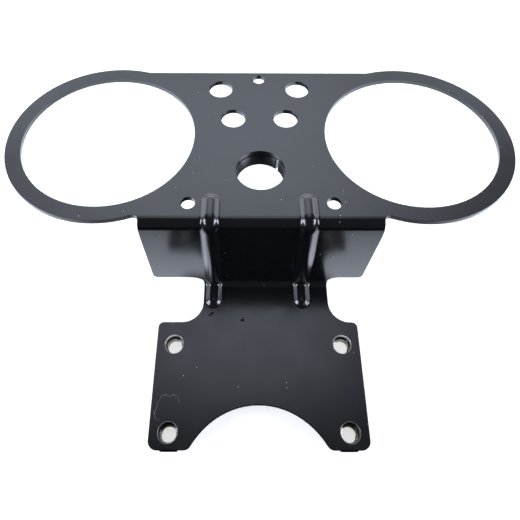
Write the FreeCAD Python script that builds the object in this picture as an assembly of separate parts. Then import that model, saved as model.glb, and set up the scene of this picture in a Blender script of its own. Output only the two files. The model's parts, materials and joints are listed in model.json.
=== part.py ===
"""Instrument cluster bracket: one folded steel sheet, a switch collar and four weld nuts.

Millimetres. X runs across the bracket, Y away from the rider, Z up from the mounting plate.
The origin is the centre of the four bolts, on the underside of the mounting plate.
"""
import FreeCAD, Part
import math
import os
from collections import namedtuple

Vector = FreeCAD.Vector
Placement = FreeCAD.Placement
Rotation = FreeCAD.Rotation

# Sheet and folds
SHEET = 2.5
UPPER_FOLD_INNER_RADIUS = 2.4
LOWER_FOLD_INNER_RADIUS = 3.2
GAUGE_PITCH = 5.0
WEB_HEIGHT = 53.0

# Gauge plate, measured from the line through both ring centres
RING_SPACING = 150.0
RING_BORE = 85.0
RING_WIDTH = 7.5
REAR_EDGE = 47.7
FOLD_CLEARANCE = 1.4
RING_FILLET = 2.5
REAR_FILLET = 8.0

# Holes in the gauge plate
FRONT_LAMP_SPACING = 26.8
FRONT_LAMP_LINE = 12.6
REAR_LAMP_SPACING = 41.0
REAR_LAMP_LINE = 34.5
LAMP_BORE = 12.5
SWITCH_LINE = -21.2
SWITCH_BORE = 23.5
SCREW_BORE = 6.5
FRONT_SCREW_SPACING = 66.0
FRONT_SCREW_MARGIN = 6.7
REAR_SCREW_MARGIN = 5.4

# Web, with a wing on each side and a neck that reaches further to the right
WING_TOP_WIDTH = 109.4
WING_BOTTOM_WIDTH = 104.4
WING_GAP = 5.0
WING_CORNER = 2.5
WING_SHOULDER = 0.5
WING_SHOULDER_CURVE = 3.3
NECK_LEFT = 27.0
NECK_RIGHT = 35.0
NECK_CURVE_LEFT = 8.5
NECK_CURVE_RIGHT = 6.5

# Mounting plate, measured from the bolt pattern
BOLT_SPACING_X = 80.0
BOLT_SPACING_Y = 38.0
BOLT_HOLE = 8.6
WEB_TO_BOLTS = 50.2
GAUGE_OFFSET = 0.8
SIDE_MARGIN = 8.3
FRONT_MARGIN = 6.7
EAR_MARGIN = 10.6
EAR_CORNER = 2.5
EAR_FILLET = 10.0
FRONT_CORNER = 3.5
CUTOUT_RADIUS = 35.4
CUTOUT_DEPTH = 18.1
CUTOUT_FILLET = 3.5

# Pressed beads
BEAD_SPACING = 44.0
BEAD_HEIGHT = 2.2
BEAD_CREST_RADIUS = 4.4
BEAD_BASE_RADIUS = 2.2
BEAD_REAR_REACH = 12.4
BEAD_FRONT_REACH = 9.4

# Rolled collar under the switch hole
COLLAR_LEDGE = 0.45
COLLAR_WALL = 2.0
COLLAR_HEIGHT = 7.5
COLLAR_SLIT = 1.3
COLLAR_SLIT_ANGLE = 44.0

# Weld nuts
NUT_FLATS = 13.0
NUT_HEIGHT = 6.5
NUT_SIDES = 6
NUT_BORE = 6.8
NUT_CHAMFER_ANGLE = 30.0

# Allowance by which a cutting tool runs past the face that it cuts
OVERRUN = 1.0

X_AXIS = Vector(1, 0, 0)
Z_AXIS = Vector(0, 0, 1)
QUARTER_TURN = 90.0
HALF_TURN = 180.0
SIDES = (-1, 1)

# Worked out from the values above
lower_fold_angle = QUARTER_TURN - GAUGE_PITCH
upper_fold_radius = UPPER_FOLD_INNER_RADIUS + SHEET
upper_fold_reach = upper_fold_radius * math.tan(math.radians(QUARTER_TURN / 2))
lower_fold_reach = LOWER_FOLD_INNER_RADIUS * math.tan(math.radians(lower_fold_angle / 2))
ring_radius = RING_BORE / 2 + RING_WIDTH
half_ring_spacing = RING_SPACING / 2
web_run = WEB_HEIGHT - upper_fold_reach - lower_fold_reach

# The sheet folds down just in front of the corner between each ring and its wing
half_wing_top = WING_TOP_WIDTH / 2
ring_corner_line = math.sqrt(ring_radius ** 2 - (half_ring_spacing - half_wing_top) ** 2)
fold_line = ring_corner_line + FOLD_CLEARANCE
web_setback = fold_line + upper_fold_reach

# A folded strip is a list of flat runs and folds; a fold's radius is that of the front face
Flat = namedtuple("Flat", "length")
Fold = namedtuple("Fold", "radius angle")
UPPER_FOLD = Fold(upper_fold_radius, QUARTER_TURN)
LOWER_FOLD = Fold(-LOWER_FOLD_INNER_RADIUS, lower_fold_angle)

# The web leans back with the gauge plate, which stands square to it
lower_corner = Vector(GAUGE_OFFSET, WEB_TO_BOLTS, SHEET)
gauge_turn = Rotation(X_AXIS, -GAUGE_PITCH)
gauge_origin = lower_corner + gauge_turn.multVec(Vector(0, web_setback, WEB_HEIGHT))
gauge_frame = Placement(gauge_origin, gauge_turn)
bolts_centre = -GAUGE_OFFSET


def rounded_face(corners):
    """Return a flat face in XY from (x, y, rounding) triples.

    A rounding is a radius, or a pair for a part of an ellipse: its reach along the side before the corner
    and along the side after it.
    """
    points = [Vector(x, y, 0) for x, y, rounding in corners]
    curves = []
    for index, (x, y, rounding) in enumerate(corners):
        point = points[index]
        before = (points[index - 1] - point).normalize()
        after = (points[(index + 1) % len(points)] - point).normalize()
        half_angle = before.getAngle(after) / 2
        if rounding == 0:
            curves.append((point, None, point))
        elif isinstance(rounding, tuple):
            start = point + before * rounding[0]
            end = point + after * rounding[1]
            curve = Part.BezierCurve()
            curve.setPoles([start, point, end])
            curve.setWeight(2, math.sin(half_angle))
            curves.append((start, curve, end))
        else:
            reach = rounding / math.tan(half_angle)
            middle = (before + after).normalize()
            crown = point + middle * (rounding / math.sin(half_angle) - rounding)
            start = point + before * reach
            end = point + after * reach
            curves.append((start, Part.Arc(start, crown, end), end))
    edges = []
    for index, (start, curve, end) in enumerate(curves):
        if curve:
            edges.append(curve.toShape())
        following = curves[(index + 1) % len(curves)][0]
        edges.append(Part.LineSegment(end, following).toShape())
    return Part.Face(Part.Wire(edges))


def drilled(x, y, bore, low, high):
    """Return a cutting cylinder along Z."""
    return Part.makeCylinder(bore / 2, high - low, Vector(x, y, low))


def carry(section, start, legs):
    """Carry a section, drawn in XZ with Z square to the front face, along the folded strip."""
    place = start
    pieces = []
    for leg in legs:
        if isinstance(leg, Flat):
            piece = section.extrude(Vector(0, -leg.length, 0))
            step = Placement(Vector(0, -leg.length, 0), Rotation())
        else:
            centre = Vector(0, 0, -leg.radius)
            axis = X_AXIS * math.copysign(1, leg.radius)
            piece = section.revolve(centre, axis, leg.angle)
            step = Placement(Vector(), Rotation(axis, leg.angle), centre)
        pieces.append(piece.transformed(place.toMatrix()))
        place = place.multiply(step)
    return pieces, place


def joined(pieces):
    """Return the pieces as one solid with no seams left in its faces."""
    return pieces[0].multiFuse(pieces[1:]).removeSplitter()


def strip_section(left, right):
    """Return the plain sheet's section between two places across the bracket."""
    corners = [Vector(left, 0, 0), Vector(right, 0, 0), Vector(right, 0, -SHEET), Vector(left, 0, -SHEET)]
    return Part.Face(Part.makePolygon(corners + corners[:1]))


def gauge_outline(low, high):
    """Return the gauge plate's outline with its holes, as a prism square to the plate."""
    deep = high - low
    front = -web_setback - OVERRUN
    rear = Part.makeBox(RING_SPACING, REAR_EDGE, deep, Vector(-half_ring_spacing, 0, low))
    middle = Part.makeBox(WING_TOP_WIDTH, -front, deep, Vector(-half_wing_top, front, low))
    discs = [drilled(side * half_ring_spacing, 0, 2 * ring_radius, low, high) for side in SIDES]
    outline = joined([rear, middle] + discs)
    upright = [edge for edge in outline.Edges if edge.BoundBox.ZLength > deep / 2]
    at_rear = [edge for edge in upright if abs(edge.CenterOfMass.y - REAR_EDGE) < SHEET]
    at_fold = [edge for edge in upright if front + OVERRUN < edge.CenterOfMass.y < 0]
    outline = outline.makeFillet(RING_FILLET, at_fold).makeFillet(REAR_FILLET, at_rear)
    holes = [drilled(side * half_ring_spacing, 0, RING_BORE, low, high) for side in SIDES]
    front_screw_line = FRONT_SCREW_MARGIN - fold_line
    for side in SIDES:
        holes.append(drilled(side * FRONT_LAMP_SPACING / 2, FRONT_LAMP_LINE, LAMP_BORE, low, high))
        holes.append(drilled(side * REAR_LAMP_SPACING / 2, REAR_LAMP_LINE, LAMP_BORE, low, high))
        holes.append(drilled(side * FRONT_SCREW_SPACING / 2, front_screw_line, SCREW_BORE, low, high))
    holes.append(drilled(0, REAR_EDGE - REAR_SCREW_MARGIN, SCREW_BORE, low, high))
    holes.append(drilled(0, SWITCH_LINE, SWITCH_BORE, low, high))
    return outline.cut(holes)


def gauge_plate():
    """Return the plate with both rings and the upper fold, before the beads are pressed."""
    across = ring_radius + half_ring_spacing
    # The rings reach past the fold line, so the fold is only as wide as the sheet between them
    fold_half_width = half_ring_spacing - math.sqrt(max(0, ring_radius ** 2 - fold_line ** 2))
    slab = Part.makeBox(2 * across, 2 * ring_radius, SHEET, Vector(-across, -ring_radius, -SHEET))
    gap = Part.makeBox(
        2 * fold_half_width, ring_radius - fold_line, SHEET, Vector(-fold_half_width, -ring_radius, -SHEET)
    )
    slab = slab.cut(gap).transformed(gauge_frame.toMatrix())
    fold_start = gauge_frame.multiply(Placement(Vector(0, -fold_line, 0), Rotation()))
    fold, web_start = carry(strip_section(-fold_half_width, fold_half_width), fold_start, [UPPER_FOLD])
    outline = gauge_outline(-upper_fold_radius - OVERRUN, OVERRUN).transformed(gauge_frame.toMatrix())
    return joined([slab] + fold).common(outline), web_start


def web(web_start):
    """Return the web with its wings, neck and lower fold, before the beads are pressed."""
    strip = strip_section(-half_wing_top, half_wing_top)
    sheet, plate_start = carry(strip, web_start, [Flat(web_run), LOWER_FOLD])

    top = -upper_fold_reach
    foot = -WEB_HEIGHT - SHEET - OVERRUN
    shoulder = top - WING_SHOULDER - WING_SHOULDER_CURVE
    shoulder_curve = (WING_SHOULDER_CURVE, WING_SHOULDER_CURVE)
    wing_foot = WING_GAP - WEB_HEIGHT
    half_bottom = WING_BOTTOM_WIDTH / 2
    neck_left = bolts_centre - NECK_LEFT
    neck_right = bolts_centre + NECK_RIGHT
    outline = rounded_face([
        (-half_wing_top, top, 0),
        (half_wing_top, top, 0),
        (half_wing_top, shoulder, shoulder_curve),
        (bolts_centre + half_bottom, wing_foot, WING_CORNER),
        (neck_right, wing_foot, (NECK_CURVE_RIGHT, WING_GAP)),
        (neck_right, foot, 0),
        (neck_left, foot, 0),
        (neck_left, wing_foot, (WING_GAP, NECK_CURVE_LEFT)),
        (bolts_centre - half_bottom, wing_foot, WING_CORNER),
        (-half_wing_top, shoulder, shoulder_curve),
    ])
    # The outline is drawn flat, stood up against the web and pushed through the sheet
    depth = SHEET + LOWER_FOLD_INNER_RADIUS + 2 * OVERRUN
    stood_up = Placement(Vector(0, SHEET + OVERRUN - web_setback, 0), Rotation(X_AXIS, QUARTER_TURN))
    prism = outline.extrude(Vector(0, 0, depth))
    prism = prism.transformed(gauge_frame.multiply(stood_up).toMatrix())
    return joined(sheet).common(prism), plate_start


def mounting_plate(plate_start):
    """Return the plate that bolts to the yoke, before the beads are pressed."""
    start = plate_start.Base.y
    half_width = BOLT_SPACING_X / 2 + SIDE_MARGIN
    ear = BOLT_SPACING_Y / 2 + EAR_MARGIN
    front = -BOLT_SPACING_Y / 2 - FRONT_MARGIN
    outline = rounded_face([
        (-NECK_LEFT, start, 0),
        (-NECK_LEFT, ear, EAR_FILLET),
        (-half_width, ear, EAR_CORNER),
        (-half_width, front, FRONT_CORNER),
        (half_width, front, FRONT_CORNER),
        (half_width, ear, EAR_CORNER),
        (NECK_RIGHT, ear, EAR_FILLET),
        (NECK_RIGHT, start, 0),
    ])
    plate = outline.extrude(Vector(0, 0, SHEET))
    cutout_line = front + CUTOUT_DEPTH - CUTOUT_RADIUS
    plate = plate.cut(drilled(0, cutout_line, 2 * CUTOUT_RADIUS, -OVERRUN, SHEET + OVERRUN))
    tips = [
        edge for edge in plate.Edges
        if edge.BoundBox.ZLength > SHEET / 2
        and abs(edge.CenterOfMass.y - front) < SHEET / 10
        and abs(edge.CenterOfMass.x) < CUTOUT_RADIUS
    ]
    plate = plate.makeFillet(CUTOUT_FILLET, tips)
    holes = [drilled(x, y, BOLT_HOLE, -OVERRUN, SHEET + OVERRUN) for x, y in bolt_places()]
    return plate.cut(holes)


def bolt_places():
    """Return the four bolt centres as (x, y)."""
    return [(i * BOLT_SPACING_X / 2, j * BOLT_SPACING_Y / 2) for i in SIDES for j in SIDES]


def bead_half_width():
    """Return half the width over which a bead leaves the sheet's face."""
    centres = BEAD_CREST_RADIUS + BEAD_BASE_RADIUS
    return math.sqrt(centres ** 2 - (centres - BEAD_HEIGHT) ** 2)


def bead_curve(offset):
    """Return the right half of a bead's curve, from crown to face, that far behind the front face."""
    half = bead_half_width()
    crest = Vector(0, 0, BEAD_HEIGHT - BEAD_CREST_RADIUS)
    base = Vector(half, 0, BEAD_BASE_RADIUS)
    lean = (base - crest).normalize()
    crest_radius = BEAD_CREST_RADIUS - offset
    base_radius = BEAD_BASE_RADIUS + offset
    crown = crest + Z_AXIS * crest_radius
    turn = crest + lean * crest_radius
    foot = base - Z_AXIS * base_radius
    on_crest = crest + (lean + Z_AXIS).normalize() * crest_radius
    on_base = base - (lean + Z_AXIS).normalize() * base_radius
    arcs = [Part.Arc(crown, on_crest, turn), Part.Arc(turn, on_base, foot)]
    return [arc.toShape() for arc in arcs], crown, foot


def bead_half_section():
    """Return the right half of the sheet's section through a bead, of even thickness."""
    front, front_crown, front_foot = bead_curve(0)
    back, back_crown, back_foot = bead_curve(SHEET)
    side = Part.LineSegment(front_foot, back_foot).toShape()
    middle = Part.LineSegment(back_crown, front_crown).toShape()
    return Part.Face(Part.Wire(front + [side] + back[::-1] + [middle]))


def along_bead(half_section, centre):
    """Carry a half section along one bead over both folds, with a rounded end at each end."""
    mirrored = half_section.mirror(Vector(), X_AXIS)
    start = gauge_frame.multiply(Placement(Vector(centre, BEAD_REAR_REACH - web_setback, 0), Rotation()))
    runs = [Flat(BEAD_REAR_REACH - upper_fold_reach), UPPER_FOLD, Flat(web_run), LOWER_FOLD]
    legs = runs + [Flat(BEAD_FRONT_REACH - lower_fold_reach)]
    right, finish = carry(half_section, start, legs)
    left, finish = carry(mirrored, start, legs)
    rear_end = half_section.revolve(Vector(), Z_AXIS, HALF_TURN).transformed(start.toMatrix())
    front_end = half_section.revolve(Vector(), -Z_AXIS, HALF_TURN).transformed(finish.toMatrix())
    return joined(right + left + [rear_end, front_end])


def folded_sheet():
    """Return the bracket's sheet in one solid."""
    upper, web_start = gauge_plate()
    middle, plate_start = web(web_start)
    lower = mounting_plate(plate_start)
    sheet = joined([upper, middle, lower])
    for side in SIDES:
        centre = bolts_centre + side * BEAD_SPACING / 2
        plain = along_bead(strip_section(0, bead_half_width()), centre)
        pressed = along_bead(bead_half_section(), centre)
        sheet = joined([sheet.cut(plain), pressed])
    return sheet


def switch_collar():
    """Return the rolled, slit ring that sits against the gauge plate round the switch hole."""
    inner = SWITCH_BORE / 2 - COLLAR_LEDGE
    outer = inner + COLLAR_WALL
    top = -SHEET
    ring = Part.makeCylinder(outer, COLLAR_HEIGHT, Vector(0, 0, top - COLLAR_HEIGHT))
    ring = ring.cut(drilled(0, 0, 2 * inner, top - COLLAR_HEIGHT - OVERRUN, top + OVERRUN))
    slit = Part.makeBox(
        outer + OVERRUN, COLLAR_SLIT, COLLAR_HEIGHT + 2 * OVERRUN,
        Vector(0, -COLLAR_SLIT / 2, top - COLLAR_HEIGHT - OVERRUN),
    )
    slit.rotate(Vector(), Z_AXIS, COLLAR_SLIT_ANGLE)
    ring = ring.cut(slit)
    ring.translate(Vector(0, SWITCH_LINE, 0))
    return ring.transformed(gauge_frame.toMatrix())


def turned(outline):
    """Return the solid that a closed outline of (radius, height) points makes about Z."""
    points = [Vector(radius, 0, height) for radius, height in outline]
    return Part.Face(Part.makePolygon(points + points[:1])).revolve(Vector(), Z_AXIS, 2 * HALF_TURN)


def weld_nut(x, y):
    """Return one hexagon nut, seated against the underside of the mounting plate."""
    flat = NUT_FLATS / 2
    corner = flat / math.cos(math.pi / NUT_SIDES)
    drop = (corner - flat) * math.tan(math.radians(NUT_CHAMFER_ANGLE))
    turns = [2 * math.pi * side / NUT_SIDES for side in range(NUT_SIDES + 1)]
    points = [Vector(corner * math.cos(turn), corner * math.sin(turn), -NUT_HEIGHT) for turn in turns]
    hexagon = Part.Face(Part.makePolygon(points)).extrude(Vector(0, 0, NUT_HEIGHT))
    # The corners are chamfered at the free end only
    barrel = turned([(0, 0), (corner, 0), (corner, drop - NUT_HEIGHT), (flat, -NUT_HEIGHT), (0, -NUT_HEIGHT)])
    nut = hexagon.common(barrel).cut(drilled(0, 0, NUT_BORE, -NUT_HEIGHT - OVERRUN, OVERRUN))
    nut.translate(Vector(x, y, 0))
    return nut


def export(name, shape):
    """Check a shape and write it to its own file."""
    if not shape.isValid():
        raise ValueError(name + " is not a valid solid")
    shape.exportStep(os.path.join("parts", name + ".step"))
    print(name, len(shape.Solids), "solids", round(shape.Volume, 1), "mm3")


os.makedirs("parts", exist_ok=True)
export("bracket", folded_sheet())
export("switch_collar", switch_collar())
export("weld_nuts", Part.makeCompound([weld_nut(x, y) for x, y in bolt_places()]))
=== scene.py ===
"""Studio scene of a black painted instrument cluster bracket with weld nuts, on a white table."""

import json
import logging
import math
from dataclasses import dataclass, field
from enum import Enum

import bpy
from mathutils import Matrix, Vector


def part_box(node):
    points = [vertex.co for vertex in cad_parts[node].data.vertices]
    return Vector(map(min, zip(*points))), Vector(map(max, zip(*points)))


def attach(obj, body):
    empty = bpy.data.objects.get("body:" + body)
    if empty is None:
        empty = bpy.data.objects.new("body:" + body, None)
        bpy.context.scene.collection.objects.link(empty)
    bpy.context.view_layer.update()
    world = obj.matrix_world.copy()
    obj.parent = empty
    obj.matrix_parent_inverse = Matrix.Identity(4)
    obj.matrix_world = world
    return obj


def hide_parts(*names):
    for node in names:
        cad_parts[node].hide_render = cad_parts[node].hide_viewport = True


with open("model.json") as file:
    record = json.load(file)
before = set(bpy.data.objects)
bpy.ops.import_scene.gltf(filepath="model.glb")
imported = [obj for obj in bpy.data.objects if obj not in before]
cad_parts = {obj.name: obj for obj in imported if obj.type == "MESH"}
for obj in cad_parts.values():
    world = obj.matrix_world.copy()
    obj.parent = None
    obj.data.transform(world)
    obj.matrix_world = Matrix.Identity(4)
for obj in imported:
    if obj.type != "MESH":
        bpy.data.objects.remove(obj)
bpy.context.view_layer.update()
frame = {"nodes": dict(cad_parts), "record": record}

log = logging.getLogger("bracket_scene")
MM = 0.001
ROOT_BODY = "root"
SIDES = (-1, 1)
ROUND_PROFILE = 0.5
DAYLIGHT = "#e6efff"

Socket = bpy.types.NodeSocket
Tree = bpy.types.NodeTree


class Slot(Enum):
    """The record's finishes."""

    BLACK_PAINT = "black_paint"
    NUT_STEEL = "nut_steel"


class Node(Enum):
    """The CAD pieces of the bracket."""

    SHEET = "bracket"
    COLLAR = "switch_collar"
    NUTS = "weld_nuts"


def linear(hex_colour: str) -> tuple[float, float, float, float]:
    """Turn an sRGB hex colour into a linear one.

    Args:
        hex_colour: Six hex digits after a hash sign.

    Returns:
        Linear red, green, blue and an alpha of 1.
    """
    channels = [int(hex_colour[place:place + 2], 16) / 255 for place in (1, 3, 5)]
    toned = [c / 12.92 if c <= 0.04045 else ((c + 0.055) / 1.055) ** 2.4 for c in channels]
    return toned[0], toned[1], toned[2], 1.0


def add_node(
    tree: Tree, kind: str, inputs: dict[str | int, object] | None = None, **settings: object
) -> bpy.types.Node:
    """Add a shader node with its settings and links.

    Args:
        tree: The node tree of a material, a lamp or the world.
        kind: Blender's type name without its ShaderNode prefix.
        inputs: What goes into each input, by the input's name or number. It is a value, an
            output socket, or a node, which stands for its first output in use.
        **settings: The node's own properties.

    Returns:
        The new node.
    """
    node = tree.nodes.new("ShaderNode" + kind)
    for name, value in settings.items():
        setattr(node, name, value)
    for name, value in (inputs or {}).items():
        if isinstance(name, int):
            entry = node.inputs[name]
        else:
            entry = next(socket for socket in node.inputs if socket.enabled and socket.name == name)
        if isinstance(value, bpy.types.Node):
            value = next(socket for socket in value.outputs if socket.enabled)
        if isinstance(value, Socket):
            tree.links.new(value, entry)
        else:
            entry.default_value = value
    return node


def new_material(name: str) -> bpy.types.Material:
    """Make a node material with nothing in it yet.

    Args:
        name: The material's name.

    Returns:
        The material.
    """
    material = bpy.data.materials.new(name)
    material.use_nodes = True
    material.node_tree.nodes.clear()
    return material


def dress(piece: bpy.types.Object, material: bpy.types.Material) -> None:
    """Give a piece one material all over."""
    piece.data.materials.clear()
    piece.data.materials.append(material)


def select_only(*pieces: bpy.types.Object) -> None:
    """Select some pieces alone.

    Args:
        *pieces: The pieces. The first one becomes the active one.
    """
    bpy.ops.object.select_all(action="DESELECT")
    for piece in pieces:
        piece.select_set(True)
    bpy.context.view_layer.objects.active = pieces[0]


def apply_modifier(piece: bpy.types.Object, kind: str, **settings: object) -> None:
    """Add a modifier to a piece and apply it at once.

    Args:
        piece: The piece that is changed.
        kind: The modifier's type.
        **settings: The modifier's own properties.
    """
    modifier = piece.modifiers.new(kind.lower(), kind)
    for name, value in settings.items():
        setattr(modifier, name, value)
    select_only(piece)
    bpy.ops.object.modifier_apply(modifier=modifier.name)


def bolt_place() -> tuple[float, float]:
    """Return how far the bolts stand from the centre of their pattern, along X and Y."""
    bolts = next(mount for mount in frame["record"]["mounts"] if mount["name"] == "yoke_bolts")
    return bolts["dims"]["spacing_x_mm"] / 2 * MM, bolts["dims"]["spacing_y_mm"] / 2 * MM


def bore_mask(tree: Tree, place: Socket, radius: float) -> bpy.types.Node:
    """Mask what lies near an axis of the four bolts.

    Args:
        tree: A material's node tree.
        place: The object coordinates.
        radius: How far from an axis the mask reaches.

    Returns:
        A node that gives 1 near a bolt's axis and 0 elsewhere.
    """
    bolt = (*bolt_place(), 0)
    folded = add_node(tree, "VectorMath", {0: place}, operation="ABSOLUTE")
    away = add_node(tree, "VectorMath", {0: folded, 1: bolt}, operation="SUBTRACT")
    level = add_node(tree, "VectorMath", {0: away, 1: (1, 1, 0)}, operation="MULTIPLY")
    reach = add_node(tree, "VectorMath", {0: level}, operation="LENGTH")
    return add_node(tree, "Math", {0: reach, 1: radius}, operation="LESS_THAN")


class MarkKind(Enum):
    """What a mark in the paint looks like."""

    HAIR = "hair"
    RUB = "rub"


@dataclass(frozen=True)
class Mark:
    """A mark in the paint: a curled hair stuck in it, or a dull rubbed spot.

    Attributes:
        kind: What the mark looks like.
        centre: The middle of the spot or of the hair's curl. All sizes here are in millimetres.
        radius: The radius of the spot or of the curl.
        waver: How far the outline strays from a circle.
        waver_size: The size of a stray bend.
        waver_detail: How ragged the bends are.
        noise_range: The noise values between which the outline strays inwards and outwards.
        depth: How far below its centre a mark still shows, so that it stays on the upper face.
        hair_width: The hair's width.
        curl_side: The direction from the centre in which the hair lies.
        curl_share: How far it also goes round the other side, as a share of the radius.
    """

    kind: MarkKind
    centre: tuple[float, float, float]
    radius: float
    waver: float
    waver_size: float
    waver_detail: float = 2.0
    noise_range: tuple[float, float] = (0.25, 0.75)
    depth: float = 1.0
    hair_width: float = 0.14
    curl_side: tuple[float, float, float] = (-0.6, 0.8, 0)
    curl_share: float = 0.25

    def mask(self, tree: Tree, place: Socket) -> bpy.types.Node:
        """Draw the mark as a mask.

        Args:
            tree: The paint's node tree.
            place: The object coordinates.

        Returns:
            A node that gives 1 inside the mark and 0 elsewhere.
        """
        centre = Vector(self.centre) * MM
        away = add_node(tree, "VectorMath", {0: place, 1: centre}, operation="SUBTRACT")
        height = add_node(tree, "SeparateXYZ", {0: away}).outputs["Z"]
        upper = add_node(tree, "Math", {0: height, 1: -self.depth * MM}, operation="GREATER_THAN")
        reach = self.wavered(tree, place, away)
        if self.kind is MarkKind.RUB:
            drawn = add_node(tree, "Math", {0: reach, 1: self.radius * MM}, operation="LESS_THAN")
        else:
            drawn = self.curl(tree, away, reach)
        return add_node(tree, "Math", {0: drawn, 1: upper}, operation="MULTIPLY")

    def wavered(self, tree: Tree, place: Socket, away: bpy.types.Node) -> bpy.types.Node:
        """Measure the distance from the centre, unsteady from place to place.

        Args:
            tree: The paint's node tree.
            place: The object coordinates.
            away: The coordinates from the mark's centre.

        Returns:
            A node that gives the distance with its waver.
        """
        reach = add_node(tree, "VectorMath", {0: away}, operation="LENGTH")
        noise = add_node(tree, "TexNoise", {
            "Vector": place, "Scale": 1 / (self.waver_size * MM), "Detail": self.waver_detail,
        })
        shift = add_node(tree, "MapRange", {
            "Value": noise, "From Min": self.noise_range[0], "From Max": self.noise_range[1],
            "To Min": -self.waver * MM, "To Max": self.waver * MM,
        })
        return add_node(tree, "Math", {0: reach, 1: shift}, operation="ADD")

    def curl(self, tree: Tree, away: bpy.types.Node, reach: bpy.types.Node) -> bpy.types.Node:
        """Draw the hair as a thin open ring.

        Args:
            tree: The paint's node tree.
            away: The coordinates from the mark's centre.
            reach: The distance from the centre with its waver.

        Returns:
            A node that gives 1 on the hair and 0 elsewhere.
        """
        line = add_node(tree, "Math", {
            0: reach, 1: self.radius * MM, 2: self.hair_width * MM / 2,
        }, operation="COMPARE")
        side = add_node(tree, "VectorMath", {0: away, 1: self.curl_side}, operation="DOT_PRODUCT")
        past = -self.curl_share * self.radius * MM
        kept = add_node(tree, "Math", {0: side, 1: past}, operation="GREATER_THAN")
        return add_node(tree, "Math", {0: line, 1: kept}, operation="MULTIPLY")


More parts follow.
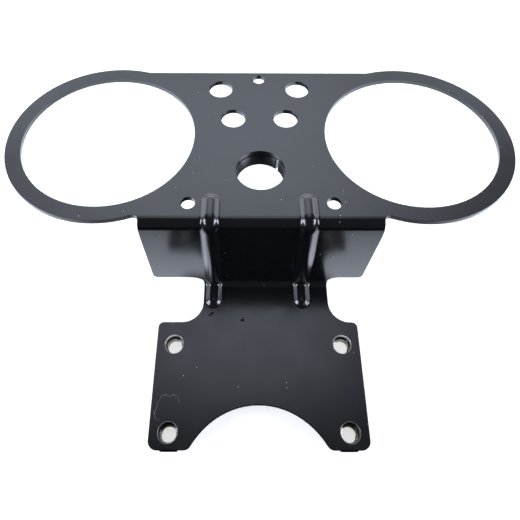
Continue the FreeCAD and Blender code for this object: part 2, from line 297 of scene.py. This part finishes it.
@dataclass(frozen=True)
class BlackPaint:
    """Black stoved enamel, sprayed on steel.

    It gives the eye a deep black with a clear gloss. The spray leaves a slight orange peel, dust
    that fell into the wet coat stands as pale specks, and a hair and two rubbed spots mark the
    mounting plate. Bolts have scraped the walls of their four holes to bare steel.
    """

    colour: str = "#0f0f12"
    ior: float = 1.6
    specular: float = 0.5
    gloss_roughness: float = 0.15
    dull_roughness: float = 0.22
    cloud_size: float = 14 * MM
    cloud_detail: float = 3.0
    cloud_range: tuple[float, float] = (0.3, 0.7)
    peel_size: float = 1.6 * MM
    peel_depth: float = 0.004 * MM
    peel_detail: float = 1.0
    dust_colour: str = "#b9bbbd"
    speck_spacing: float = 3.2 * MM
    speck_radius: float = 0.2 * MM
    speck_share: float = 0.22
    hair_share: float = 0.4
    rubbed_roughness: float = 0.6
    rubbed_specular: float = 0.2
    scraped_colour: str = "#c9c6c0"
    scraped_radius: float = 4.45 * MM
    scraped_roughness: float = 0.3
    scraped_ior: float = 1.5
    marks: tuple[Mark, ...] = (
        Mark(MarkKind.HAIR, (-40.6, -9.4, 2.5), radius=6.0, waver=1.3, waver_size=3.5),
        Mark(MarkKind.RUB, (-7.7, 30.9, 2.5), radius=0.7, waver=1.2, waver_size=1.1),
        Mark(MarkKind.RUB, (-22.6, 33.4, 2.5), radius=1.0, waver=1.2, waver_size=1.3),
    )

    def marked(self, tree: Tree, place: Socket, kind: MarkKind) -> bpy.types.Node:
        """Draw all the marks of a kind as one mask.

        Args:
            tree: The paint's node tree.
            place: The object coordinates.
            kind: The kind of mark.

        Returns:
            A node that gives 1 inside a mark and 0 elsewhere.
        """
        masks = [mark.mask(tree, place) for mark in self.marks if mark.kind is kind]
        total = masks[0]
        for mask in masks[1:]:
            total = add_node(tree, "Math", {0: total, 1: mask}, operation="MAXIMUM")
        return total

    def specks(self, tree: Tree, place: Socket) -> bpy.types.Node:
        """Scatter dust specks, one at most in each cell and only in some of the cells.

        Args:
            tree: The paint's node tree.
            place: The object coordinates.

        Returns:
            A node that gives 1 on a speck and 0 elsewhere.
        """
        cells = add_node(tree, "TexVoronoi", {"Vector": place, "Scale": 1 / self.speck_spacing})
        reach = self.speck_radius / self.speck_spacing
        near = add_node(tree, "Math", {
            0: cells.outputs["Distance"], 1: reach,
        }, operation="LESS_THAN")
        tint = add_node(tree, "SeparateColor", {"Color": cells.outputs["Color"]})
        chosen = add_node(tree, "Math", {
            0: tint.outputs["Red"], 1: self.speck_share,
        }, operation="LESS_THAN")
        return add_node(tree, "Math", {0: near, 1: chosen}, operation="MULTIPLY")

    def pigment(self, tree: Tree, place: Socket, scraped: bpy.types.Node) -> bpy.types.Node:
        """Colour the coat, the dust and the hair in it, and the scraped steel.

        Args:
            tree: The paint's node tree.
            place: The object coordinates.
            scraped: The mask of the scraped hole walls.

        Returns:
            A node that gives the colour.
        """
        hair = self.marked(tree, place, MarkKind.HAIR)
        faint = add_node(tree, "Math", {0: hair, 1: self.hair_share}, operation="MULTIPLY")
        dust = self.specks(tree, place)
        pale = add_node(tree, "Math", {0: dust, 1: faint}, operation="MAXIMUM")
        coat = add_node(tree, "Mix", data_type="RGBA", inputs={
            "Factor": pale, "A": linear(self.colour), "B": linear(self.dust_colour),
        })
        return add_node(tree, "Mix", data_type="RGBA", inputs={
            "Factor": scraped, "A": coat, "B": linear(self.scraped_colour),
        })

    def roughness(
        self, tree: Tree, place: Socket, rubbed: bpy.types.Node, scraped: bpy.types.Node
    ) -> bpy.types.Node:
        """Cloud the gloss a little, and dull it where it is rubbed or scraped.

        Args:
            tree: The paint's node tree.
            place: The object coordinates.
            rubbed: The mask of the rubbed spots.
            scraped: The mask of the scraped hole walls.

        Returns:
            A node that gives the roughness.
        """
        clouds = add_node(tree, "TexNoise", {
            "Vector": place, "Scale": 1 / self.cloud_size, "Detail": self.cloud_detail,
        })
        gloss = add_node(tree, "MapRange", {
            "Value": clouds, "From Min": self.cloud_range[0], "From Max": self.cloud_range[1],
            "To Min": self.gloss_roughness, "To Max": self.dull_roughness,
        })
        dulled = add_node(tree, "Mix", {"Factor": rubbed, "A": gloss, "B": self.rubbed_roughness})
        return add_node(tree, "Mix", {"Factor": scraped, "A": dulled, "B": self.scraped_roughness})

    def material(self) -> bpy.types.Material:
        """Build the paint's node material.

        Returns:
            The material.
        """
        paint = new_material("black_stoved_enamel")
        tree = paint.node_tree
        place = add_node(tree, "TexCoord").outputs["Object"]
        rubbed = self.marked(tree, place, MarkKind.RUB)
        scraped = bore_mask(tree, place, self.scraped_radius)
        specular = add_node(tree, "Mix", {
            "Factor": rubbed, "A": self.specular, "B": self.rubbed_specular,
        })
        ior = add_node(tree, "Mix", {"Factor": scraped, "A": self.ior, "B": self.scraped_ior})
        peel = add_node(tree, "TexNoise", {
            "Vector": place, "Scale": 1 / self.peel_size, "Detail": self.peel_detail,
        })
        bump = add_node(tree, "Bump", {"Height": peel, "Distance": self.peel_depth})
        shader = add_node(tree, "BsdfPrincipled", {
            "Base Color": self.pigment(tree, place, scraped), "Metallic": scraped,
            "Roughness": self.roughness(tree, place, rubbed, scraped), "IOR": ior,
            "Specular IOR Level": specular, "Normal": bump,
        })
        add_node(tree, "OutputMaterial", {"Surface": shader})
        return paint


@dataclass(frozen=True)
class OversprayedSteel:
    """Steel nuts that were sprayed black with the bracket and then tapped again.

    It gives the eye black outsides, and a grey to brown glint of bare metal in the threads.
    """

    paint_colour: str = "#0f0f12"
    steel_colour: str = "#b5a999"
    stain_colour: str = "#67574a"
    paint_roughness: float = 0.18
    steel_roughness: float = 0.24
    stain_size: float = 1.2 * MM
    stain_detail: float = 4.0
    stain_range: tuple[float, float] = (0.4, 0.7)
    bore_radius: float = 4.1 * MM
    spray_depth: float = 1.1 * MM
    spray_edge: float = 0.5 * MM

    def bare(self, tree: Tree, place: Socket) -> bpy.types.Node:
        """Mask the bare threads.

        Args:
            tree: The material's node tree.
            place: The object coordinates.

        Returns:
            A node that gives 1 inside the bores, below the overspray, and 0 elsewhere.
        """
        inside = bore_mask(tree, place, self.bore_radius)
        height = add_node(tree, "SeparateXYZ", {0: place}).outputs["Z"]
        drips = add_node(tree, "TexNoise", {"Vector": place, "Scale": 1 / self.stain_size})
        edge = add_node(tree, "MapRange", {
            "Value": drips, "To Min": -self.spray_depth - self.spray_edge,
            "To Max": self.spray_edge - self.spray_depth,
        })
        deep = add_node(tree, "Math", {0: height, 1: edge}, operation="LESS_THAN")
        return add_node(tree, "Math", {0: inside, 1: deep}, operation="MULTIPLY")

    def material(self) -> bpy.types.Material:
        """Build the nuts' node material.

        Returns:
            The material.
        """
        steel = new_material("oversprayed_steel")
        tree = steel.node_tree
        place = add_node(tree, "TexCoord").outputs["Object"]
        bare = self.bare(tree, place)
        stains = add_node(tree, "TexNoise", {
            "Vector": place, "Scale": 1 / self.stain_size, "Detail": self.stain_detail,
        })
        amount = add_node(tree, "MapRange", {
            "Value": stains, "From Min": self.stain_range[0], "From Max": self.stain_range[1],
        })
        metal = add_node(tree, "Mix", data_type="RGBA", inputs={
            "Factor": amount, "A": linear(self.steel_colour), "B": linear(self.stain_colour),
        })
        colour = add_node(tree, "Mix", data_type="RGBA", inputs={
            "Factor": bare, "A": linear(self.paint_colour), "B": metal,
        })
        roughness = add_node(tree, "Mix", {
            "Factor": bare, "A": self.paint_roughness, "B": self.steel_roughness,
        })
        shader = add_node(tree, "BsdfPrincipled", {
            "Base Color": colour, "Metallic": bare, "Roughness": roughness,
        })
        add_node(tree, "OutputMaterial", {"Surface": shader})
        return steel


@dataclass
class PaintedPiece:
    """A CAD piece as a merged copy, with its cut edges rounded by the paint that lies over them."""

    node: Node
    edge_radius: float = 0.35 * MM
    edge_steps: int = 3
    merge_distance: float = 0.002 * MM
    flat_limit: float = math.radians(0.2)
    cut_edge_limit: float = math.radians(60)
    smooth_limit: float = math.radians(40)
    piece: bpy.types.Object = field(init=False)

    def build(self) -> bpy.types.Object:
        """Copy the CAD piece, join its loose triangles and round its cut edges.

        Returns:
            The finished piece.
        """
        select_only(frame["nodes"][self.node.value])
        bpy.ops.object.duplicate()
        self.piece = bpy.context.view_layer.objects.active
        self.piece.name = self.node.value + "_painted"
        bpy.ops.object.mode_set(mode="EDIT")
        bpy.ops.mesh.select_all(action="SELECT")
        bpy.ops.mesh.remove_doubles(threshold=self.merge_distance)
        bpy.ops.mesh.dissolve_limited(angle_limit=self.flat_limit)
        bpy.ops.mesh.select_all(action="DESELECT")
        bpy.ops.mesh.select_mode(type="EDGE")
        bpy.ops.mesh.edges_select_sharp(sharpness=self.cut_edge_limit)
        bpy.ops.mesh.bevel(
            offset=self.edge_radius, segments=self.edge_steps, profile=ROUND_PROFILE,
            clamp_overlap=True,
        )
        bpy.ops.object.mode_set(mode="OBJECT")
        bpy.ops.object.shade_smooth_by_angle(angle=self.smooth_limit)
        apply_modifier(self.piece, "WEIGHTED_NORMAL", keep_sharp=True)
        return self.piece

    def finish(self, material: bpy.types.Material) -> None:
        """Paint the piece and let it stand for its CAD piece.

        Args:
            material: The paint.
        """
        dress(self.piece, material)
        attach(self.piece, ROOT_BODY)
        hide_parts(self.node.value)


@dataclass
class ThreadedNuts:
    """Four M8 weld nuts with cut threads, modelled once and copied to each bolt."""

    bolt_place: tuple[float, float]
    sides: int = 6
    flats: float = 13 * MM
    height: float = 6.5 * MM
    edge_radius: float = 0.15 * MM
    edge_steps: int = 2
    chamfer: float = math.radians(30)
    pitch: float = 1.25 * MM
    turns: int = 4
    thread_start: float = 0.85 * MM
    root_radius: float = 4.0 * MM
    crest_radius: float = 3.4 * MM
    mouth_radius: float = 4.3 * MM
    mouth_depth: float = 0.5 * MM
    ridge_corners: int = 3
    ridge_side: float = 1.12 * MM
    ridge_sunk: float = 0.06 * MM
    merge_distance: float = 0.004 * MM
    smooth_limit: float = math.radians(35)
    steps: int = 48
    overrun: float = 1 * MM
    piece: bpy.types.Object = field(init=False)

    def build(self) -> bpy.types.Object:
        """Cut one nut, copy it to the four bolts and join the copies.

        Returns:
            The finished piece.
        """
        nut = self.hexagon()
        grow = 1 / math.tan(self.chamfer)
        flare = (self.mouth_radius - self.root_radius) / self.mouth_depth
        self.work(nut, self.cone(-self.height, self.flats / 2, grow), "INTERSECT")
        self.work(nut, self.cone(0, self.root_radius, 0), "DIFFERENCE")
        self.work(nut, self.cone(0, self.mouth_radius, flare, -self.mouth_depth), "DIFFERENCE")
        self.work(nut, self.ridge(), "UNION")
        self.work(nut, self.cone(0, self.crest_radius, 0), "DIFFERENCE")
        self.clean(nut)
        across, along = self.bolt_place
        places = [(x * across, y * along, 0) for x in SIDES for y in SIDES]
        copies = [self.copy(nut, place) for place in places]
        bpy.data.objects.remove(nut)
        select_only(*copies)
        bpy.ops.object.join()
        self.piece = bpy.context.view_layer.objects.active
        self.piece.name = "threaded_nuts"
        return self.piece

    def hexagon(self) -> bpy.types.Object:
        """Make the blank of a nut, with corners along X and its edges broken.

        Returns:
            The blank, with its top at the height of 0.
        """
        corner = self.flats / math.sqrt(3)
        bpy.ops.object.select_all(action="DESELECT")
        bpy.ops.mesh.primitive_cylinder_add(
            vertices=self.sides, radius=corner, depth=self.height,
            rotation=(0, 0, math.pi / self.sides), location=(0, 0, -self.height / 2),
        )
        bpy.ops.object.transform_apply(location=True, rotation=True, scale=True)
        bpy.ops.object.mode_set(mode="EDIT")
        bpy.ops.mesh.select_all(action="SELECT")
        bpy.ops.mesh.bevel(
            offset=self.edge_radius, segments=self.edge_steps, profile=ROUND_PROFILE,
        )
        bpy.ops.object.mode_set(mode="OBJECT")
        return bpy.context.view_layer.objects.active

    def cone(
        self, level: float, radius: float, grow: float, low: float | None = None
    ) -> bpy.types.Object:
        """Make a round cutting tool along Z.

        Args:
            level: The height at which the tool has the given radius.
            radius: That radius.
            grow: How much the radius grows for each unit of height.
            low: The tool's lower end, or None for just below the nut.

        Returns:
            The tool, which runs past the top of the nut.
        """
        low = -self.height - self.overrun if low is None else low
        high = self.overrun
        bpy.ops.object.select_all(action="DESELECT")
        bpy.ops.mesh.primitive_cone_add(
            vertices=self.steps, depth=high - low, location=(0, 0, (low + high) / 2),
            radius1=radius + (low - level) * grow, radius2=radius + (high - level) * grow,
        )
        return bpy.context.view_layer.objects.active

    def ridge(self) -> bpy.types.Object:
        """Make the thread's ridge, a triangle wound down the bore.

        Returns:
            The ridge, with closed ends.
        """
        reach = self.ridge_side / math.sqrt(3)
        centre = self.root_radius + self.ridge_sunk - reach / 2
        bpy.ops.object.select_all(action="DESELECT")
        bpy.ops.mesh.primitive_circle_add(
            vertices=self.ridge_corners, radius=reach, location=(centre, 0, -self.thread_start),
            rotation=(math.pi / 2, -math.pi / 2, 0),
        )
        bpy.ops.object.transform_apply(location=True, rotation=True, scale=True)
        ridge = bpy.context.view_layer.objects.active
        apply_modifier(
            ridge, "SCREW", angle=2 * math.pi, screw_offset=-self.pitch, iterations=self.turns,
            steps=self.steps, render_steps=self.steps,
        )
        bpy.ops.object.mode_set(mode="EDIT")
        bpy.ops.mesh.select_all(action="SELECT")
        bpy.ops.mesh.fill_holes(sides=self.ridge_corners)
        bpy.ops.mesh.normals_make_consistent(inside=False)
        bpy.ops.object.mode_set(mode="OBJECT")
        return ridge

    def work(self, nut: bpy.types.Object, tool: bpy.types.Object, operation: str) -> None:
        """Change a nut by a tool and throw the tool away."""
        apply_modifier(nut, "BOOLEAN", operation=operation, object=tool, solver="EXACT")
        bpy.data.objects.remove(tool)

    def clean(self, nut: bpy.types.Object) -> None:
        """Merge the slivers that the cuts leave and smooth the thread.

        Args:
            nut: The nut.
        """
        select_only(nut)
        bpy.ops.object.mode_set(mode="EDIT")
        bpy.ops.mesh.select_all(action="SELECT")
        bpy.ops.mesh.remove_doubles(threshold=self.merge_distance)
        bpy.ops.mesh.dissolve_degenerate(threshold=self.merge_distance)
        bpy.ops.mesh.normals_make_consistent(inside=False)
        bpy.ops.object.mode_set(mode="OBJECT")
        bpy.ops.object.shade_smooth_by_angle(angle=self.smooth_limit)

    def copy(
        self, nut: bpy.types.Object, place: tuple[float, float, float]
    ) -> bpy.types.Object:
        """Copy a nut, with a mesh of its own, to a place.

        Args:
            nut: The nut.
            place: How far the copy is moved.

        Returns:
            The copy.
        """
        select_only(nut)
        bpy.ops.object.duplicate()
        bpy.ops.transform.translate(value=place)
        bpy.ops.object.transform_apply(location=True, rotation=True, scale=True)
        return bpy.context.view_layer.objects.active

    def finish(self, material: bpy.types.Material) -> None:
        """Give the nuts their finish and let them stand for the plain CAD nuts.

        Args:
            material: The nuts' finish.
        """
        dress(self.piece, material)
        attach(self.piece, ROOT_BODY)
        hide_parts(Node.NUTS.value)


@dataclass(frozen=True)
class SoftBox:
    """A soft box that looks at the bracket and fades towards its edges. Angles are in degrees.

    Attributes:
        name: The lamp's name.
        turn: The way round the bracket, from straight behind it towards the left.
        height: The angle above the table.
        across: The angle that the box's width takes up, seen from the bracket.
        tall: The same for its height.
        brightness: The brightness of its middle, where 1 is white.
        fade: The share of the way from its edge to its middle over which it brightens.
        colour: The light's colour.
        distance: How far from the bracket it hangs.
    """

    name: str
    turn: float
    height: float
    across: float
    tall: float
    brightness: float
    fade: float
    colour: str = DAYLIGHT
    distance: float = 1.2

    def hang(self, target: Vector) -> None:
        """Hang the box.

        Args:
            target: The place that the box looks at.
        """
        turn = math.radians(self.turn)
        height = math.radians(self.height)
        flat = math.cos(height)
        away = Vector((-math.sin(turn) * flat, math.cos(turn) * flat, math.sin(height)))
        lamp = bpy.data.lights.new(self.name, "AREA")
        lamp.shape = "RECTANGLE"
        lamp.size = 2 * self.distance * math.tan(math.radians(self.across / 2))
        lamp.size_y = 2 * self.distance * math.tan(math.radians(self.tall / 2))
        lamp.color = linear(self.colour)[:3]
        lamp.energy = self.brightness * math.pi * lamp.size * lamp.size_y
        self.soften(lamp)
        box = bpy.data.objects.new(self.name, lamp)
        bpy.context.scene.collection.objects.link(box)
        box.location = target + away * self.distance
        box.rotation_euler = away.to_track_quat("Z", "Y").to_euler()
        box.visible_camera = False

    def soften(self, lamp: bpy.types.AreaLight) -> None:
        """Fade a lamp's light from its middle to its four edges.

        Args:
            lamp: The lamp.
        """
        lamp.use_nodes = True
        tree = lamp.node_tree
        tree.nodes.clear()
        spot = add_node(tree, "NewGeometry").outputs["Parametric"]
        # The coordinates run from 0 to 1 over the lamp and become 0 in its middle, 1 at its edges.
        centred = add_node(tree, "VectorMath", {
            0: spot, 1: (2, 2, 0), 2: (-1, -1, 0),
        }, operation="MULTIPLY_ADD")
        folded = add_node(tree, "VectorMath", {0: centred}, operation="ABSOLUTE")
        sides = add_node(tree, "SeparateXYZ", {0: folded})
        fades = [
            add_node(tree, "MapRange", {
                "Value": sides.outputs[side], "From Min": 1.0, "From Max": 1 - self.fade,
            }, interpolation_type="SMOOTHSTEP")
            for side in ("X", "Y")
        ]
        both = add_node(tree, "Math", dict(enumerate(fades)), operation="MULTIPLY")
        glow = add_node(tree, "Emission", {"Strength": both})
        add_node(tree, "OutputLight", {"Surface": glow})


@dataclass
class Studio:
    """A white table, a dim room and soft boxes round the bracket.

    Attributes:
        floor_half: Half the table's side.
        floor_gap: How far the table lies below the nuts.
        paper_colour: The colour of the table's card.
        seen_glow: What is added to the table for the camera, so that it looks white.
        near_glow: The brightness of the table's painted reflection at the bolts, a glow that only
            mirrors see.
        far_glow: The same behind the web, painted as bright as a fully lit table.
        glow_reach: The distance between those two places.
        dark_from: Where the painted reflection begins, seen from the camera's side; nearer the
            camera it is painted dark, as shade.
        bright_from: Where it is at its full brightness.
        shade_from: Where the painted shade below the gauge plate begins, painted in for the plate's
            shadow on the table.
        shade_half: Half the width of that painted shade.
        shade_edge: The width of its soft edge.
        shade_depth: How much of the painted reflection it takes away.
        room_colour: The colour of the room.
        room_light: The room's brightness.
        seen_room: Its brightness for the camera, which is white.
        target: The place that the soft boxes look at.
        boxes: The soft boxes.
    """

    floor_half: float = 2.0
    floor_gap: float = 0.05 * MM
    paper_colour: str = "#e6e6e6"
    seen_glow: float = 0.66
    near_glow: float = 1.1
    far_glow: float = 2.7
    glow_reach: float = 60 * MM
    dark_from: float = -4 * MM
    bright_from: float = 16 * MM
    shade_from: float = 36 * MM
    shade_half: float = 35 * MM
    shade_edge: float = 8 * MM
    shade_depth: float = 0.94
    room_colour: str = "#f6f8ff"
    room_light: float = 0.09
    seen_room: float = 1.0
    target: tuple[float, float, float] = (0, 60 * MM, 30 * MM)
    boxes: tuple[SoftBox, ...] = (
        SoftBox("rear_soft_box", turn=5, height=45, across=82, tall=54, brightness=2.4, fade=0.9),
        SoftBox("top_soft_box", turn=2, height=73.5, across=46, tall=26, brightness=1.55, fade=0.8),
        SoftBox("left_low_box", turn=50, height=15, across=60, tall=46, brightness=3.2, fade=0.6),
        SoftBox("right_low_box", turn=-50, height=15, across=60, tall=46, brightness=3.0, fade=0.6),
        SoftBox("rear_low_box", turn=0, height=13, across=56, tall=32, brightness=3.6, fade=0.5),
        SoftBox("left_window", turn=105, height=23, across=40, tall=22, brightness=15, fade=0.4),
        SoftBox("right_window", turn=-105, height=23, across=40, tall=22, brightness=15, fade=0.4),
    )

    def build(self) -> None:
        """Set up the table, the room's light and the soft boxes."""
        self.table()
        self.room()
        for box in self.boxes:
            box.hang(Vector(self.target))

    def table(self) -> None:
        """Lay the table under the nuts."""
        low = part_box(Node.NUTS.value)[0]
        bpy.ops.object.select_all(action="DESELECT")
        bpy.ops.mesh.primitive_plane_add(
            size=2 * self.floor_half, location=(0, 0, low[2] - self.floor_gap),
        )
        table = bpy.context.active_object
        table.name = "white_table"
        dress(table, self.card())

    def card(self) -> bpy.types.Material:
        """Build the table's card: white to the eye, with a faint shadow, and a painted reflection
        in mirrors.

        Returns:
            The material.
        """
        card = new_material("white_card")
        # The glow is for the eye and for mirrors, so it isn't sampled as a lamp. What mirrors see
        # is a painted reflection, no lamp, with painted shade in its strength.
        card.cycles.emission_sampling = "NONE"
        tree = card.node_tree
        rays = add_node(tree, "LightPath")
        paper = add_node(tree, "BsdfDiffuse", {"Color": linear(self.paper_colour)})
        seen = add_node(tree, "Math", {
            0: rays.outputs["Is Camera Ray"], 1: self.seen_glow,
        }, operation="MULTIPLY")
        glow = add_node(tree, "Emission", {"Strength": seen})
        lit = add_node(tree, "AddShader", {0: paper, 1: glow})
        # Painted reflection: a glow that only glossy rays see, standing in for the lit table.
        painted_reflection = add_node(tree, "Emission", {
            "Color": linear(DAYLIGHT), "Strength": self.painted_glare(tree),
        })
        both = add_node(tree, "MixShader", {0: rays.outputs["Is Glossy Ray"], 1: lit, 2: painted_reflection})
        add_node(tree, "OutputMaterial", {"Surface": both})
        return card

    def painted_glare(self, tree: Tree) -> bpy.types.Node:
        """Paint the table's reflection, from painted shade on the camera's side to bright behind.

        Args:
            tree: The card's node tree.

        Returns:
            A node that gives the painted brightness.
        """
        place = add_node(tree, "SeparateXYZ", {0: add_node(tree, "TexCoord").outputs["Object"]})
        # Painted shade: the reflection fades to dark towards the camera's side.
        fade = add_node(tree, "MapRange", {
            "Value": place.outputs["Y"], "From Min": self.dark_from, "From Max": self.bright_from,
        }, interpolation_type="SMOOTHSTEP")
        level = add_node(tree, "MapRange", {
            "Value": place.outputs["Y"], "From Max": self.glow_reach,
            "To Min": self.near_glow, "To Max": self.far_glow,
        })
        graded = add_node(tree, "Math", {0: fade, 1: level}, operation="MULTIPLY")
        outside_painted_shade = self.outside_painted_shade(tree, place)
        return add_node(tree, "Math", {0: graded, 1: outside_painted_shade}, operation="MULTIPLY")

    def outside_painted_shade(self, tree: Tree, place: bpy.types.Node) -> bpy.types.Node:
        """Tell where the table's reflection lies outside the painted shade below the gauge plate.

        Args:
            tree: The card's node tree.
            place: The node with the table's separate coordinates.

        Returns:
            A node that gives 1 in the open and close to 0 in the painted shade below the plate.
        """
        # Painted shade: the gauge plate's shadow, painted into the reflection's strength, since the
        # plate blocks nothing of an emitted glow.
        aside = add_node(tree, "Math", {0: place.outputs["X"]}, operation="ABSOLUTE")
        below = add_node(tree, "MapRange", {
            "Value": aside, "From Min": self.shade_half + self.shade_edge,
            "From Max": self.shade_half,
        }, interpolation_type="SMOOTHSTEP")
        behind = add_node(tree, "MapRange", {
            "Value": place.outputs["Y"], "From Min": self.shade_from,
            "From Max": self.shade_from + self.shade_edge, "To Max": self.shade_depth,
        }, interpolation_type="SMOOTHSTEP")
        shade = add_node(tree, "Math", {0: below, 1: behind}, operation="MULTIPLY")
        return add_node(tree, "Math", {0: 1.0, 1: shade}, operation="SUBTRACT")

    def room(self) -> None:
        """Fill the room with a plain soft light, and show white where the table ends."""
        world = bpy.data.worlds.new("room")
        bpy.context.scene.world = world
        world.use_nodes = True
        tree = world.node_tree
        tree.nodes.clear()
        seen = add_node(tree, "LightPath").outputs["Is Camera Ray"]
        strength = add_node(tree, "Mix", {
            "Factor": seen, "A": self.room_light, "B": self.seen_room,
        })
        glow = add_node(tree, "Background", {
            "Color": linear(self.room_colour), "Strength": strength,
        })
        add_node(tree, "OutputWorld", {"Surface": glow})


@dataclass(frozen=True)
class PhotoCamera:
    """The camera, placed from the frame between the gauge rings.

    Attributes:
        eye: The camera's place in that frame, in millimetres.
        pitch: How far it looks down on the gauge plate, in degrees, as the next two angles.
        yaw: How far it is turned to the right.
        roll: How far it leans over.
        focal_pixels: The focal length in pixels.
        axis_pixel: The pixel that the lens looks at, from the picture's upper left corner.
        frame_pixels: The picture's side in pixels.
        sensor: The width of the sensor, in millimetres.
    """

    eye: tuple[float, float, float] = (-6.734, -182.422, 199.605)
    pitch: float = 49.726
    yaw: float = 0.241
    roll: float = 0.345
    focal_pixels: float = 543.187
    axis_pixel: tuple[float, float] = (247.746, 156.999)
    frame_pixels: int = 520
    sensor: float = 36.0

    def gauge_frame(self) -> Matrix:
        """Work out the frame between the rings, on the gauge plate's upper face.

        Returns:
            The frame, with X across the rings and Z square to the plate.
        """
        mounts = {mount["name"]: mount for mount in frame["record"]["mounts"]}
        left = mounts["gauge_ring_left"]
        right = mounts["gauge_ring_right"]
        up = Vector(left["axis"]).normalized()
        across = (Vector(right["pos_m"]) - Vector(left["pos_m"])).normalized()
        away = up.cross(across)
        half_sheet = left["dims"]["length_mm"] / 2 * MM
        origin = (Vector(left["pos_m"]) + Vector(right["pos_m"])) / 2 + up * half_sheet
        turned = Matrix((across, away, up)).transposed().to_4x4()
        return Matrix.Translation(origin) @ turned

    def aim(self) -> Matrix:
        """Work out how the camera is turned.

        Returns:
            The turn from the gauge frame.
        """
        pitch, yaw, roll = (math.radians(angle) for angle in (self.pitch, self.yaw, self.roll))
        flat = math.cos(pitch)
        ahead = Vector((math.sin(yaw) * flat, math.cos(yaw) * flat, -math.sin(pitch)))
        level = Vector((math.cos(yaw), -math.sin(yaw), 0))
        upright = level.cross(ahead)
        right = math.cos(roll) * level + math.sin(roll) * upright
        up = math.cos(roll) * upright - math.sin(roll) * level
        return Matrix((right, up, -ahead)).transposed().to_4x4()

    def build(self) -> bpy.types.Object:
        """Set up the scene's camera.

        Returns:
            The camera object.
        """
        lens = bpy.data.cameras.new("photo_camera")
        lens.sensor_width = self.sensor
        lens.lens = self.focal_pixels / self.frame_pixels * self.sensor
        lens.shift_x = 0.5 - self.axis_pixel[0] / self.frame_pixels
        lens.shift_y = self.axis_pixel[1] / self.frame_pixels - 0.5
        lens.clip_start = MM
        camera = bpy.data.objects.new("photo_camera", lens)
        bpy.context.scene.collection.objects.link(camera)
        place = Matrix.Translation(Vector(self.eye) * MM)
        camera.matrix_world = self.gauge_frame() @ place @ self.aim()
        bpy.context.scene.camera = camera
        return camera


def main() -> None:
    """Build, dress and light the bracket."""
    logging.basicConfig(level=logging.INFO, format="%(message)s")
    bpy.context.scene.view_settings.view_transform = "Standard"
    paint = BlackPaint().material()
    for node in (Node.SHEET, Node.COLLAR):
        piece = PaintedPiece(node)
        piece.build()
        piece.finish(paint)
        log.info("%s: %d faces", piece.piece.name, len(piece.piece.data.polygons))
    nuts = ThreadedNuts(bolt_place())
    nuts.build()
    nuts.finish(OversprayedSteel().material())
    log.info("%s: %d faces", nuts.piece.name, len(nuts.piece.data.polygons))
    Studio().build()
    PhotoCamera().build()


if __name__ == "__main__":
    main()
